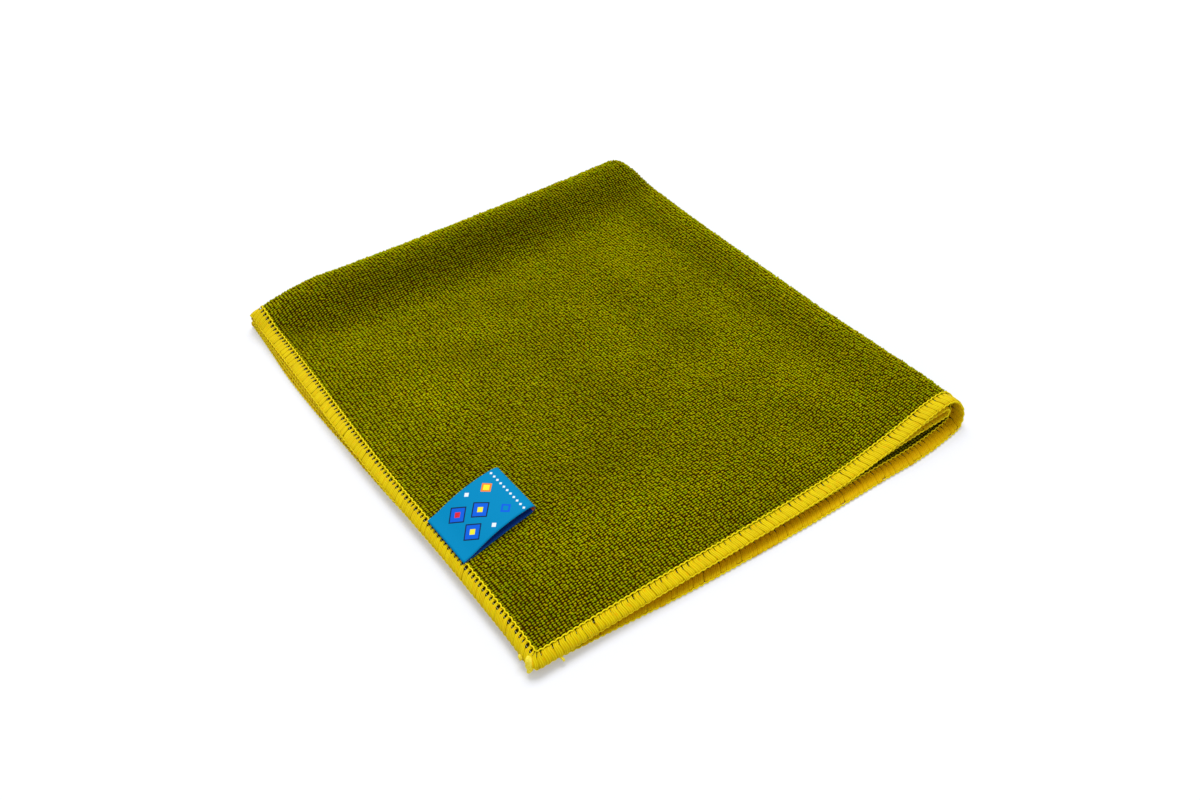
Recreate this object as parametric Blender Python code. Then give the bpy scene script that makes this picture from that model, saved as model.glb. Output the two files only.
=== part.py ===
"""A looped microfibre cloth, folded in half and then in half again, lying flat.

The flat cloth is measured by u and v, in millimetres from its middle. Fold 1 is the line v = 0 and
fold 2, made second, is the line u = 0. Layer 1, on top, is where u and v are both positive; layer 2
is u > 0, v < 0; layer 3 is u < 0, v < 0; and layer 4, on the floor, is u < 0, v > 0. The front left
corner, where all four corners of the cloth meet, is at x = 0, y = 0, with the open edge A along Y
and the open edge B along X.
"""

import bpy
import bmesh
import numpy as np

MM = 0.001

# The flat cloth, edging included, from a fold to the rim.
HALF_U = 177.0
HALF_V = 201.0

# The sheet and its overlocked edge.
CLOTH_HALF_THICK = 0.5
EDGING_WIDTH = 5.0
EDGING_HALF_THICK = 0.6
EDGING_OUTER_RADIUS = 4.0
EDGING_INNER_RADIUS = 0.8
PIECE_GAP = 0.3

# The stack of four layers.
LAYER_PITCH = 1.4
BOTTOM_MIDDLE = 0.52
FLOOR = 0.05
SOFT_LOFT = 0.5
SOFT_MARGIN = 25.0

# The roll of layer 1's rim: how wide a strip turns down, and how far in it draws for its drop.
ROLL_WIDTH = 5.0
ROLL_IN = 0.8

# The turn at fold 1 is half an ellipse this much longer than it is high, with a tail behind it.
TURN_1_LENGTH = 1.6
TURN_1_TAIL = 9.5

# The label, a ribbon folded double.
LABEL_WIDTH = 21.5
LABEL_HALF_THICK = 0.18
LABEL_ROOT_FROM_RIM = 5.6
LABEL_MIDDLE_V = 146.0
LABEL_SLANT = 0.17
LABEL_STEPS_ACROSS = 4

# Spacing of the mesh lines away from a fold, and back from the cut edge.
FIRST_STEP = 0.6
STEP_GROWTH = 1.36
WIDEST_STEP = 25.0
EDGE_STEPS = (4.0, 4.0, 5.0, 7.0, 10.0, 15.0)
CORNER_STEPS = 5
TURN_SAMPLES = 4000
SLOPE_STEP = 0.04


class Table:
    """Rows of a short table with named columns, read as a smooth curve of the first column."""

    def __init__(self, columns, rows):
        self.names = columns.split()
        self.rows = np.array(rows, float)

    def at(self, name, place):
        knots = self.rows[:, 0]
        values = self.rows[:, self.names.index(name)]
        gaps = np.diff(knots)
        slopes = np.diff(values) / gaps
        tangents = np.concatenate([slopes[:1], np.zeros(len(gaps) - 1), slopes[-1:]])
        tangents[1:-1] = (slopes[:-1] * gaps[1:] + slopes[1:] * gaps[:-1]) / (gaps[1:] + gaps[:-1])
        place = np.clip(place, knots[0], knots[-1])
        row = np.clip(np.searchsorted(knots, place, side="right") - 1, 0, len(gaps) - 1)
        a = (place - knots[row]) / gaps[row]
        return (
            (2 * a**3 - 3 * a**2 + 1) * values[row]
            + (a**3 - 2 * a**2 + a) * gaps[row] * tangents[row]
            + (3 * a**2 - 2 * a**3) * values[row + 1]
            + (a**3 - a**2) * gaps[row] * tangents[row + 1]
        )


# Fold 1, by the distance s from fold 2: half the height of each of its two loops, and where the
# loops of the upper and the lower pair end in y.
FOLD_1 = Table(
    "s half_height upper_y lower_y",
    [
        (0, 2.30, 196.2, 196.2),
        (15, 2.45, 195.8, 196.4),
        (30, 2.80, 195.2, 196.2),
        (60, 3.05, 194.5, 196.0),
        (110, 3.15, 194.8, 196.6),
        (135, 3.10, 196.0, 197.6),
        (152, 2.95, 197.5, 198.6),
        (165, 2.20, 198.6, 199.4),
        (173, 1.50, 199.3, 199.9),
        (177, 1.15, 199.6, 200.0),
    ],
)

# Fold 2, by y: where the outer and the inner loop end in x, how far layers 1, 2 and 3 rise there
# above their height in the flat stack, and how far back from the fold the rise reaches.
FOLD_2 = Table(
    "y outer_x inner_x rise_1 rise_2 rise_3 reach",
    [
        (0, 171.7, 166.8, 5.5, 4.8, 3.0, 52),
        (12, 172.4, 167.5, 4.9, 4.0, 2.6, 49),
        (30, 172.8, 168.5, 3.8, 2.6, 1.8, 36),
        (60, 172.8, 169.0, 3.0, 1.4, 0.8, 20),
        (100, 173.4, 169.0, 2.8, 1.2, 0.7, 16),
        (150, 174.6, 169.0, 2.6, 1.2, 0.6, 17),
        (180, 175.9, 168.8, 2.0, 1.0, 0.5, 20),
        (190, 175.1, 168.5, 1.6, 0.8, 0.4, 22),
        (200, 173.3, 168.0, 1.2, 0.7, 0.4, 22),
    ],
)

# Edge A, by y: the rim of each layer in x, and how far the rim of layer 1 rolls down over them.
EDGE_A = Table(
    "y layer_1 layer_2 layer_3 layer_4 roll",
    [
        (0, -2.7, 1.6, 1.4, 0.2, 2.0),
        (9, -2.3, 1.6, 1.4, 0.4, 1.9),
        (28, -2.1, 1.5, 1.2, 0.4, 1.5),
        (47, -2.2, 1.2, 1.0, 0.0, 1.4),
        (68, -2.7, 0.6, 0.3, -0.7, 1.2),
        (91, -3.1, -0.4, -0.9, -1.8, 0.8),
        (115, -2.9, -1.6, -2.2, -2.6, 0.3),
        (142, -2.2, -2.5, -2.9, -3.4, 0.0),
        (162, -1.8, -2.3, -2.8, -3.4, 0.0),
        (184, -1.6, -1.9, -2.1, -2.3, 0.0),
        (201, -1.5, -1.5, -1.6, -1.6, 0.0),
    ],
)

# Edge B, by the distance s from fold 2: the rim of each layer in y, and the roll of layer 1. Layers
# 1 and 4 meet at the outer loop, and layers 2 and 3 at the inner one.
EDGE_B = Table(
    "s layer_1 layer_2 layer_3 layer_4 roll",
    [
        (0, -5.6, -3.6, -3.6, -5.6, 0.0),
        (6, -3.6, -3.4, -3.6, -7.4, 0.0),
        (15, -3.5, -3.2, -3.3, -8.6, 0.0),
        (25, -4.3, -3.6, -3.0, -9.3, 0.0),
        (45, -4.9, -3.9, -2.6, -8.9, 0.0),
        (75, -5.3, -4.0, -2.4, -8.4, 0.0),
        (100, -5.0, -3.4, -2.2, -7.3, 0.2),
        (125, -4.5, -2.0, -1.8, -5.8, 0.6),
        (150, -4.3, -0.9, -1.2, -3.4, 1.4),
        (168, -4.4, -0.4, -0.6, -1.6, 2.0),
        (177, -4.3, -0.4, -0.4, -0.4, 2.0),
    ],
)

# The label's middle line, from its lower root out to the fold and back: distance from the root
# and height above the cloth.
LABEL_LINE = (
    (0.0, 0.50),
    (9.0, 0.50),
    (18.0, 0.55),
    (25.5, 0.60),
    (27.0, 0.95),
    (27.8, 1.75),
    (27.5, 2.65),
    (26.3, 3.25),
    (23.0, 3.50),
    (17.0, 3.55),
    (11.0, 3.10),
    (6.0, 2.10),
    (2.5, 1.35),
    (0.0, 1.10),
)

# The edging's cross-section: distance out from its inner side, and height as a share of its half.
EDGING_SECTION = (
    (0.0, -0.75),
    (0.7, -1.0),
    (3.7, -1.0),
    (4.7, -0.62),
    (5.0, 0.0),
    (4.7, 0.62),
    (3.7, 1.0),
    (0.7, 1.0),
    (0.0, 0.75),
)

FINISHES = {
    "cloth": ((0.155, 0.17, 0.006, 1.0), 0.95),
    "edging": ((0.75, 0.56, 0.012, 1.0), 0.6),
    "label": ((0.008, 0.30, 0.68, 1.0), 0.45),
}


def ramp(a):
    """0 to 1 with level ends."""
    a = np.clip(a, 0.0, 1.0)
    return a * a * (3.0 - 2.0 * a)


def ellipse_arc():
    """Angles round a quarter of fold 1's ellipse, of unit height, and the arc's length up to each."""
    angle = np.linspace(0.0, np.pi / 2, TURN_SAMPLES + 1)
    steps = np.hypot(TURN_1_LENGTH * np.diff(np.cos(angle)), np.diff(np.sin(angle)))
    return angle, np.concatenate([[0.0], np.cumsum(steps)])


ARC_ANGLE, ARC_LENGTH = ellipse_arc()


def fold_1_turn(t, half_height):
    """For cloth at t from fold 1: its distance from the loop's end, its side from -1 to 1 across the
    turn, and half the distance between the two layers there."""
    angle = np.interp(t / half_height, ARC_LENGTH, ARC_ANGLE)
    turning = t < ARC_LENGTH[-1] * half_height
    turn_length = TURN_1_LENGTH * half_height
    straight = t - (ARC_LENGTH[-1] - TURN_1_LENGTH) * half_height
    back = np.where(turning, turn_length * (1.0 - np.cos(angle)), straight)
    side = np.where(turning, np.sin(angle), 1.0)
    closing = ramp((back - turn_length) / (TURN_1_TAIL * half_height))
    half_gap = LAYER_PITCH / 2 + (half_height - LAYER_PITCH / 2) * (1.0 - closing)
    return back, side, half_gap


def fold_2_turn(s, radius):
    """The same two values round the half circle of fold 2."""
    angle = np.minimum(s / radius, np.pi / 2)
    straight = s - (np.pi / 2 - 1.0) * radius
    back = np.where(s < np.pi / 2 * radius, radius * (1.0 - np.cos(angle)), straight)
    return back, np.sin(angle)


def folded(u, v):
    """Where the middle of the sheet lies for cloth at u, v, as x, y, z in millimetres."""
    u, v = np.broadcast_arrays(np.asarray(u, float), np.asarray(v, float))
    s, t = np.abs(u), np.abs(v)
    upper, outer = u >= 0, v >= 0

    half_height = FOLD_1.at("half_height", s)
    back_1, side_1, half_gap = fold_1_turn(t, half_height)
    share = (1.0 + np.where(outer, side_1, -side_1)) / 2
    end_1 = np.where(upper, FOLD_1.at("upper_y", s), FOLD_1.at("lower_y", s))
    rim_outer = np.where(upper, EDGE_B.at("layer_1", s), EDGE_B.at("layer_4", s))
    rim_inner = np.where(upper, EDGE_B.at("layer_2", s), EDGE_B.at("layer_3", s))
    rim_y = share * rim_outer + (1.0 - share) * rim_inner
    back_at_rim = HALF_V - (ARC_LENGTH[-1] - TURN_1_LENGTH) * half_height
    y = rim_y + (end_1 - rim_y) * (1.0 - back_1 / back_at_rim)

    inside = ramp((HALF_V - t) / SOFT_MARGIN) * ramp((HALF_U - s) / SOFT_MARGIN)
    inside = inside * ramp((t - SOFT_MARGIN / 2) / SOFT_MARGIN)
    height_3 = BOTTOM_MIDDLE + 2.0 * half_gap
    height_2 = height_3 + LAYER_PITCH + SOFT_LOFT * inside
    height_1 = height_2 + 2.0 * half_gap

    rim_x = np.where(
        upper,
        np.where(outer, EDGE_A.at("layer_1", y), EDGE_A.at("layer_2", y)),
        np.where(outer, EDGE_A.at("layer_4", y), EDGE_A.at("layer_3", y)),
    )

    reach = FOLD_2.at("reach", y)

    def loop(end_x, top, low, top_rise, low_rise):
        radius = (top + top_rise - low - low_rise) / 2
        back, side = fold_2_turn(s, radius)
        rising = 1.0 - ramp((back - radius) / reach)
        top_z, low_z = top + top_rise * rising, low + low_rise * rising
        z = (top_z + low_z) / 2 + np.where(upper, side, -side) * (top_z - low_z) / 2
        x = rim_x + (end_x - rim_x) * (1.0 - back / (HALF_U - (np.pi / 2 - 1.0) * radius))
        return x, z

    outer_x, outer_z = loop(
        FOLD_2.at("outer_x", y), height_1, BOTTOM_MIDDLE, FOLD_2.at("rise_1", y), 0.0
    )
    inner_x, inner_z = loop(
        FOLD_2.at("inner_x", y), height_2, height_3, FOLD_2.at("rise_2", y), FOLD_2.at("rise_3", y)
    )
    x = share * outer_x + (1.0 - share) * inner_x
    z = share * outer_z + (1.0 - share) * inner_z

    on_top = np.where(upper & outer, 1.0, 0.0)
    roll_a = on_top * EDGE_A.at("roll", y) * np.clip(1.0 - (HALF_U - s) / ROLL_WIDTH, 0.0, None) ** 2
    roll_b = on_top * EDGE_B.at("roll", s) * np.clip(1.0 - (HALF_V - t) / ROLL_WIDTH, 0.0, None) ** 2
    drop = np.maximum(roll_a, roll_b)
    return np.stack([x + ROLL_IN * roll_a, y + ROLL_IN * roll_b, z - drop], -1)


def outward(u, v):
    """The sheet's unit normal on its outer face, the one that is up on layer 1."""
    along_u = folded(u + SLOPE_STEP, v) - folded(u - SLOPE_STEP, v)
    along_v = folded(u, v + SLOPE_STEP) - folded(u, v - SLOPE_STEP)
    normal = np.cross(along_u, along_v)
    return normal / np.linalg.norm(normal, axis=-1, keepdims=True)


def raised(u, v, w):
    """A point w millimetres out from the middle of the sheet, kept out of the floor."""
    u, v = np.asarray(u, float), np.asarray(v, float)
    points = folded(u, v) + np.asarray(w, float)[..., None] * outward(u, v)
    points[..., 2] = np.maximum(points[..., 2], FLOOR) - FLOOR
    return points


def line_places(half):
    """Mesh lines over a whole side of the cloth: close at the fold, wide between, closer at the edge."""
    near = half - np.cumsum((0.0,) + EDGE_STEPS)[::-1]
    places = [0.0]
    step = FIRST_STEP
    while places[-1] + step < near[0] - step / 2:
        places.append(places[-1] + step)
        step = min(step * STEP_GROWTH, WIDEST_STEP)
    side = np.array(places + list(near))
    return np.concatenate([-side[:0:-1], side])


CUT_U = line_places(HALF_U - EDGING_WIDTH - PIECE_GAP)
CUT_V = line_places(HALF_V - EDGING_WIDTH - PIECE_GAP)


def cloth_shape():
    """Points and faces of the sheet: two faces of squares and the cut edge round them."""
    u, v = np.meshgrid(CUT_U, CUT_V, indexing="ij")
    tuck = (EDGING_INNER_RADIUS - PIECE_GAP) * (1.0 - np.sqrt(0.5))
    for i in (0, -1):
        for j in (0, -1):
            u[i, j] -= tuck * np.sign(u[i, j])
            v[i, j] -= tuck * np.sign(v[i, j])
    thick = np.full(u.shape, CLOTH_HALF_THICK)
    front, back = raised(u, v, thick), raised(u, v, -thick)
    points = np.concatenate([front.reshape(-1, 3), back.reshape(-1, 3)])
    across, along = u.shape
    behind = across * along

    def number(i, j):
        return i * along + j

    faces = []
    for i in range(across - 1):
        for j in range(along - 1):
            square = (number(i, j), number(i + 1, j), number(i + 1, j + 1), number(i, j + 1))
            faces.append(square)
            faces.append(tuple(behind + k for k in reversed(square)))
    rim = [number(i, 0) for i in range(across)]
    rim += [number(across - 1, j) for j in range(1, along)]
    rim += [number(i, along - 1) for i in range(across - 2, -1, -1)]
    rim += [number(0, j) for j in range(along - 2, 0, -1)]
    for a, b in zip(rim, rim[1:] + rim[:1]):
        faces.append((b, a, behind + a, behind + b))
    return points, faces


def edging_stations():
    """Pairs of flat points round the edging, on its inner side and on its rim, anticlockwise."""
    inner_u, inner_v = HALF_U - EDGING_WIDTH, HALF_V - EDGING_WIDTH
    pairs = []

    def side(places, limit, fixed_inner, fixed_rim, swap, way):
        kept = [p for p in places if abs(p) < limit][::way]
        for p in kept:
            inner, rim = (p, fixed_inner), (p, fixed_rim)
            pairs.append((inner[::-1], rim[::-1]) if swap else (inner, rim))

    def corner(sign_u, sign_v, start):
        for k in range(CORNER_STEPS + 1):
            angle = start + np.pi / 2 * k / CORNER_STEPS
            turn = np.array([np.cos(angle), np.sin(angle)])
            signs = np.array([sign_u, sign_v])
            inner_middle = signs * (np.array([inner_u, inner_v]) - EDGING_INNER_RADIUS)
            rim_middle = signs * (np.array([HALF_U, HALF_V]) - EDGING_OUTER_RADIUS)
            pairs.append((
                tuple(inner_middle + EDGING_INNER_RADIUS * turn),
                tuple(rim_middle + EDGING_OUTER_RADIUS * turn),
            ))

    clear = EDGING_WIDTH + EDGING_INNER_RADIUS
    side(CUT_V, HALF_V - clear, inner_u, HALF_U, True, 1)
    corner(1, 1, 0.0)
    side(CUT_U, HALF_U - clear, inner_v, HALF_V, False, -1)
    corner(-1, 1, np.pi / 2)
    side(CUT_V, HALF_V - clear, -inner_u, -HALF_U, True, -1)
    corner(-1, -1, np.pi)
    side(CUT_U, HALF_U - clear, -inner_v, -HALF_V, False, 1)
    corner(1, -1, 3 * np.pi / 2)
    return np.array(pairs)


def edging_shape():
    """A rounded band that runs round all four sides of the cloth and closes on itself."""
    pairs = edging_stations()
    section = np.array(EDGING_SECTION)
    out = section[:, 0] / EDGING_WIDTH
    flat = pairs[:, None, 0] * (1.0 - out[:, None]) + pairs[:, None, 1] * out[:, None]
    lift = np.broadcast_to(EDGING_HALF_THICK * section[:, 1], flat.shape[:2])
    points = raised(flat[..., 0], flat[..., 1], lift).reshape(-1, 3)
    stations, sides = flat.shape[:2]
    faces = []
    for i in range(stations):
        for j in range(sides):
            here, ahead = i * sides, (i + 1) % stations * sides
            after = (j + 1) % sides
            faces.append((here + j, here + after, ahead + after, ahead + j))
    return points, faces


def label_shape():
    """The ribbon: out over the cloth, round its own fold and back, with both ends at the edging."""
    line = np.array(LABEL_LINE)
    along = np.gradient(line, axis=0)
    along /= np.linalg.norm(along, axis=1, keepdims=True)
    side = np.stack([-along[:, 1], along[:, 0]], 1) * LABEL_HALF_THICK
    ring = np.concatenate([line + side, (line - side)[::-1]])
    across = np.linspace(-LABEL_WIDTH / 2, LABEL_WIDTH / 2, LABEL_STEPS_ACROSS + 1)
    u = HALF_U - LABEL_ROOT_FROM_RIM - ring[:, 0]
    v = LABEL_MIDDLE_V - LABEL_SLANT * ring[:, 0]
    u, v = np.broadcast_arrays(u[None, :], v[None, :] + across[:, None])
    lift = np.broadcast_to(CLOTH_HALF_THICK + ring[:, 1], u.shape)
    points = raised(u, v, lift).reshape(-1, 3)
    rows, count = u.shape
    faces = []
    for i in range(rows - 1):
        for j in range(count):
            after = (j + 1) % count
            faces.append((i * count + j, i * count + after, (i + 1) * count + after, (i + 1) * count + j))
    last = (rows - 1) * count
    half = count // 2
    for j in range(half - 1):
        mate, mate_after = count - 1 - j, count - 2 - j
        faces.append((j, mate, mate_after, j + 1))
        faces.append((last + j + 1, last + mate_after, last + mate, last + j))
    return points, faces


def finish(name):
    """The piece's own material."""
    colour, roughness = FINISHES[name]
    material = bpy.data.materials.new(name)
    material.use_nodes = True
    shader = material.node_tree.nodes["Principled BSDF"]
    shader.inputs["Base Color"].default_value = colour
    shader.inputs["Roughness"].default_value = roughness
    shader.inputs["Metallic"].default_value = 0.0
    return material


def add_piece(name, points, faces, origin):
    """One object from points in millimetres, its faces turned outward."""
    mesh = bpy.data.meshes.new(name)
    mesh.from_pydata([tuple(p) for p in (points - origin) * MM], [], faces)
    shape = bmesh.new()
    shape.from_mesh(mesh)
    bmesh.ops.recalc_face_normals(shape, faces=shape.faces)
    shape.to_mesh(mesh)
    shape.free()
    mesh.materials.append(finish(name))
    mesh.shade_smooth()
    piece = bpy.data.objects.new(name, mesh)
    bpy.context.scene.collection.objects.link(piece)


def main():
    for old in list(bpy.data.objects):
        bpy.data.objects.remove(old, do_unlink=True)
    shapes = {"cloth": cloth_shape(), "edging": edging_shape(), "label": label_shape()}
    everything = np.concatenate([points for points, _ in shapes.values()])
    low, high = everything.min(axis=0), everything.max(axis=0)
    origin = np.array([(low[0] + high[0]) / 2, (low[1] + high[1]) / 2, low[2]])
    for name, (points, faces) in shapes.items():
        add_piece(name, points, faces, origin)


main()
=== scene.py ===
"""Looks for the folded microfibre cloth: its knit, the overlocked edge and the printed ribbon.

The sheet is laid out by the same fold map as the part. The flat cloth is measured by u and v, in
millimetres from its middle; fold 1 is the line v = 0 and fold 2 is the line u = 0. Layer 1, on top,
is where u and v are both positive; layer 2 is u > 0, v < 0; layer 3 is u < 0, v < 0; and layer 4,
on the floor, is u < 0, v > 0. The front left corner is at x = 0, y = 0, with the open edge A along
Y and the open edge B along X.
"""

import bpy
import numpy as np
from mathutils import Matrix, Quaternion, Vector

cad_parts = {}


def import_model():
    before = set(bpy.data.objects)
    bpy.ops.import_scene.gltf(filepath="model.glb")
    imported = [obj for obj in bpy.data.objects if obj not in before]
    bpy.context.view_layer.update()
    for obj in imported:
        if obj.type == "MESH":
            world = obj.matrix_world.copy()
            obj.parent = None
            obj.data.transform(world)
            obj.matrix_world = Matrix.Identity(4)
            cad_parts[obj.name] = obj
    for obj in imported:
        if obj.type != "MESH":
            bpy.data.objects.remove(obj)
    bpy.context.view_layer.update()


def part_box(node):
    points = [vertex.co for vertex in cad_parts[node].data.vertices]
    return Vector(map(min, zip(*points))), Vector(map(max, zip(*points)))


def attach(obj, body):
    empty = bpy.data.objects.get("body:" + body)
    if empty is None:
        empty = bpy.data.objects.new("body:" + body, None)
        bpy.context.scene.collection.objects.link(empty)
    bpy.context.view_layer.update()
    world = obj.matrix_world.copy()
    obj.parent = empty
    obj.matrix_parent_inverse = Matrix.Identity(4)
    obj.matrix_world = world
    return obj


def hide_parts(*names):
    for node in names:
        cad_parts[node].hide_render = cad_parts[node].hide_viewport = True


MM = 0.001
SEED = 7

# How near a line a point of the flat cloth counts as on it.
CLOSE = 0.1

# The flat cloth, edging included, from a fold to the rim.
HALF_U = 177.0
HALF_V = 201.0

# The stack of four layers, as in the part: their pitch, the height of the lowest one's middle, how
# far all sink onto the floor, and how much looser the two upper ones lie inside a margin.
LAYER_PITCH = 1.4
BOTTOM_MIDDLE = 0.52
FLOOR = 0.05
SOFT_LOFT = 0.5
SOFT_MARGIN = 25.0

# The roll of layer 1's rim: how wide a strip turns down, and how far in it draws for its drop.
ROLL_WIDTH = 5.0
ROLL_IN = 0.8

# The turn at fold 1 is half an ellipse this much longer than it is high, with a tail behind it.
TURN_1_LENGTH = 1.6
TURN_1_TAIL = 9.5

# Samples of that ellipse, and the step by which the sheet's slopes are measured.
TURN_SAMPLES = 4000
SLOPE_STEP = 0.04

# The knit panel: half thickness in the open and inside the hem, over how wide a strip it changes,
# and how far under the hem's inner side that strip starts.
CLOTH_HALF_THICK = 0.6
HEM_HALF_THICK = 0.26
HEM_SQUEEZE = 3.0
HEM_COVER = 0.2

# By the distance from the rim: from where on the panel lies in the open, up to where the yarn's
# fuzz covers it, and the width of each change. The stitch holes are between the two, and there the
# panel is painted near black as the shade in them.
BARE_FROM, BARE_FADE = 4.1, 0.8
FUZZ_FROM, FUZZ_FADE = 3.5, 0.5

# The panel's mesh lines: first step from a fold, growth, widest step, and the last lines' distances
# from the rim. The last points of a corner draw in by a tuck.
PANEL_STEP, PANEL_GROWTH, PANEL_WIDEST = 0.35, 1.16, 4.0
PANEL_EDGE = (11.0, 8.5, 7.2, 6.4, 5.8, 5.3, 4.9, 4.5, 4.1, 3.5, 3.2, 2.9, 0.8)
CORNER_SIZE, CORNER_TUCK = 1.5, 0.9

# How far on in the pattern, in metres, the panel's back is from its front.
BACK_ON = 0.5

# The knit's pattern: pitch and slant of its ribs, pitch of the loops along a rib, how far it strays
# slowly and quickly, how uneven its loops are, and how high its soft bumps are.
RIB_PITCH = 1.216
RIB_TURN = 0.03
LOOP_PITCH = 0.862
WARP = 0.7
FINE_WARP = 0.22
UNEVEN = 0.40
SWELL = 1.6

# The standing loops: their foot over the sheet's middle, and the tip over the foot. Each has two
# rings of four points and a tip: the rings' radius as a share of the pitches, height, and share of
# the tip's lean; and the painted shading of each ring and of the tip, dark at the foot, where the
# loops shade one another, and full colour at the tip. Then the number of pieces that they are
# kept in, and how far past the folds they go.
LOOP_GROUND = 0.05
LOOP_HEIGHT = 0.82
LOOP_RINGS = ((0.45, 0.0, 0.0), (0.43, 0.56, 0.7))
LOOP_RING_SHADING = (0.0, 0.66, 1.0)
LOOP_PIECES = 3
LOOPS_PAST_FOLD_1 = 7.0
LOOPS_PAST_FOLD_2 = 10.0

# How far the ribs and the rows wander, in slow waves: length over u, length over v, phase, share.
LOOP_DRIFT = 0.30
RIB_WAVES = ((57.0, 21.0, 0.0, 1.0), (-13.0, 8.3, 1.3, 0.5))
ROW_WAVES = ((17.0, -49.0, 0.7, 1.0), (7.1, 15.0, 0.0, 0.5))

# How unlike the loops are, as standard deviations: place as a share of the pitch, size, turn in
# radians, height with its limits, and lean of the tip.
LOOP_STRAY = 0.07
LOOP_SIZE = 0.09
LOOP_TURN = 0.30
LOOP_TALL, LOOP_TALLS = 0.18, (0.4, 1.5)
LOOP_LEAN = 0.10

# The overlock: width, stitch pitch, its radius round a corner of the cloth, and the share of the
# way out to the rim at which its length is measured.
HEM_WIDTH = 5.0
STITCH_PITCH = 2.03
HEM_OUTER_RADIUS = 4.0
HEM_INNER_RADIUS = 0.8
CORNER_SAMPLES = 12
SEWN_AT = 0.65
RIM_SAMPLES = 4000

# The label, a ribbon folded double. The print of its inner side is LINING further on.
LABEL_WIDTH = 21.5
LABEL_HALF_THICK = 0.16
LABEL_ROOT_FROM_RIM = 4.4
LABEL_MIDDLE_V = 146.0
LABEL_SLANT = 0.17
LABEL_SINK = 0.1
LABEL_STEPS_ALONG = 90
LABEL_STEPS_ACROSS = 25
LINING = 100.0


class Table:
    """Rows of a short table with named columns, read as a smooth curve of the first column."""

    def __init__(self, columns, rows):
        self.names = columns.split()
        self.rows = np.array(rows, float)

    def at(self, name, place):
        knots = self.rows[:, 0]
        values = self.rows[:, self.names.index(name)]
        gaps = np.diff(knots)
        slopes = np.diff(values) / gaps
        tangents = np.concatenate([slopes[:1], np.zeros(len(gaps) - 1), slopes[-1:]])
        tangents[1:-1] = (slopes[:-1] * gaps[1:] + slopes[1:] * gaps[:-1]) / (gaps[1:] + gaps[:-1])
        place = np.clip(place, knots[0], knots[-1])
        row = np.clip(np.searchsorted(knots, place, side="right") - 1, 0, len(gaps) - 1)
        a = (place - knots[row]) / gaps[row]
        return (
            (2 * a**3 - 3 * a**2 + 1) * values[row]
            + (a**3 - 2 * a**2 + a) * gaps[row] * tangents[row]
            + (3 * a**2 - 2 * a**3) * values[row + 1]
            + (a**3 - a**2) * gaps[row] * tangents[row + 1]
        )


# Fold 1, by the distance s from fold 2: half the height of each of its two loops, and where the
# loops of the upper and the lower pair end in y.
FOLD_1 = Table(
    "s half_height upper_y lower_y",
    [
        (0, 2.30, 196.2, 196.2),
        (15, 2.45, 195.8, 196.4),
        (30, 2.80, 195.2, 196.2),
        (60, 3.05, 194.5, 196.0),
        (110, 3.15, 194.8, 196.6),
        (135, 3.10, 196.0, 197.6),
        (152, 2.95, 197.5, 198.6),
        (165, 2.20, 198.6, 199.4),
        (173, 1.50, 199.3, 199.9),
        (177, 1.15, 199.6, 200.0),
    ],
)

# Fold 2, by y: where the outer and the inner loop end in x, how far layers 1, 2 and 3 rise there
# above their height in the flat stack, and how far back from the fold the rise reaches.
FOLD_2 = Table(
    "y outer_x inner_x rise_1 rise_2 rise_3 reach",
    [
        (0, 171.7, 166.8, 5.5, 4.8, 3.0, 52),
        (12, 172.4, 167.5, 4.9, 4.0, 2.6, 49),
        (30, 172.8, 168.5, 3.8, 2.6, 1.8, 36),
        (60, 172.8, 169.0, 3.0, 1.4, 0.8, 20),
        (100, 173.4, 169.0, 2.8, 1.2, 0.7, 16),
        (150, 174.6, 169.0, 2.6, 1.2, 0.6, 17),
        (180, 175.9, 168.8, 2.0, 1.0, 0.5, 20),
        (190, 175.1, 168.5, 1.6, 0.8, 0.4, 22),
        (200, 173.3, 168.0, 1.2, 0.7, 0.4, 22),
    ],
)

# Edge A, by y: the rim of each layer in x, and how far the rim of layer 1 rolls down over them.
EDGE_A = Table(
    "y layer_1 layer_2 layer_3 layer_4 roll",
    [
        (0, -2.7, 1.6, 1.4, 0.2, 2.0),
        (9, -2.3, 1.6, 1.4, 0.4, 1.9),
        (28, -2.1, 1.5, 1.2, 0.4, 1.5),
        (47, -2.2, 1.2, 1.0, 0.0, 1.4),
        (68, -2.7, 0.6, 0.3, -0.7, 1.2),
        (91, -3.1, -0.4, -0.9, -1.8, 0.8),
        (115, -2.9, -1.6, -2.2, -2.6, 0.3),
        (142, -2.2, -2.5, -2.9, -3.4, 0.0),
        (162, -1.8, -2.3, -2.8, -3.4, 0.0),
        (184, -1.6, -1.9, -2.1, -2.3, 0.0),
        (201, -1.5, -1.5, -1.6, -1.6, 0.0),
    ],
)

# Edge B, by the distance s from fold 2: the rim of each layer in y, and the roll of layer 1. Layers
# 1 and 4 meet at the outer loop, and layers 2 and 3 at the inner one.
EDGE_B = Table(
    "s layer_1 layer_2 layer_3 layer_4 roll",
    [
        (0, -5.6, -3.6, -3.6, -5.6, 0.0),
        (6, -3.6, -3.4, -3.6, -7.4, 0.0),
        (15, -3.5, -3.2, -3.3, -8.6, 0.0),
        (25, -4.3, -3.6, -3.0, -9.3, 0.0),
        (45, -4.9, -3.9, -2.6, -8.9, 0.0),
        (75, -5.3, -4.0, -2.4, -8.4, 0.0),
        (100, -5.0, -3.4, -2.2, -7.3, 0.2),
        (125, -4.5, -2.0, -1.8, -5.8, 0.6),
        (150, -4.3, -0.9, -1.2, -3.4, 1.4),
        (168, -4.4, -0.4, -0.6, -1.6, 2.0),
        (177, -4.3, -0.4, -0.4, -0.4, 2.0),
    ],
)

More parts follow.
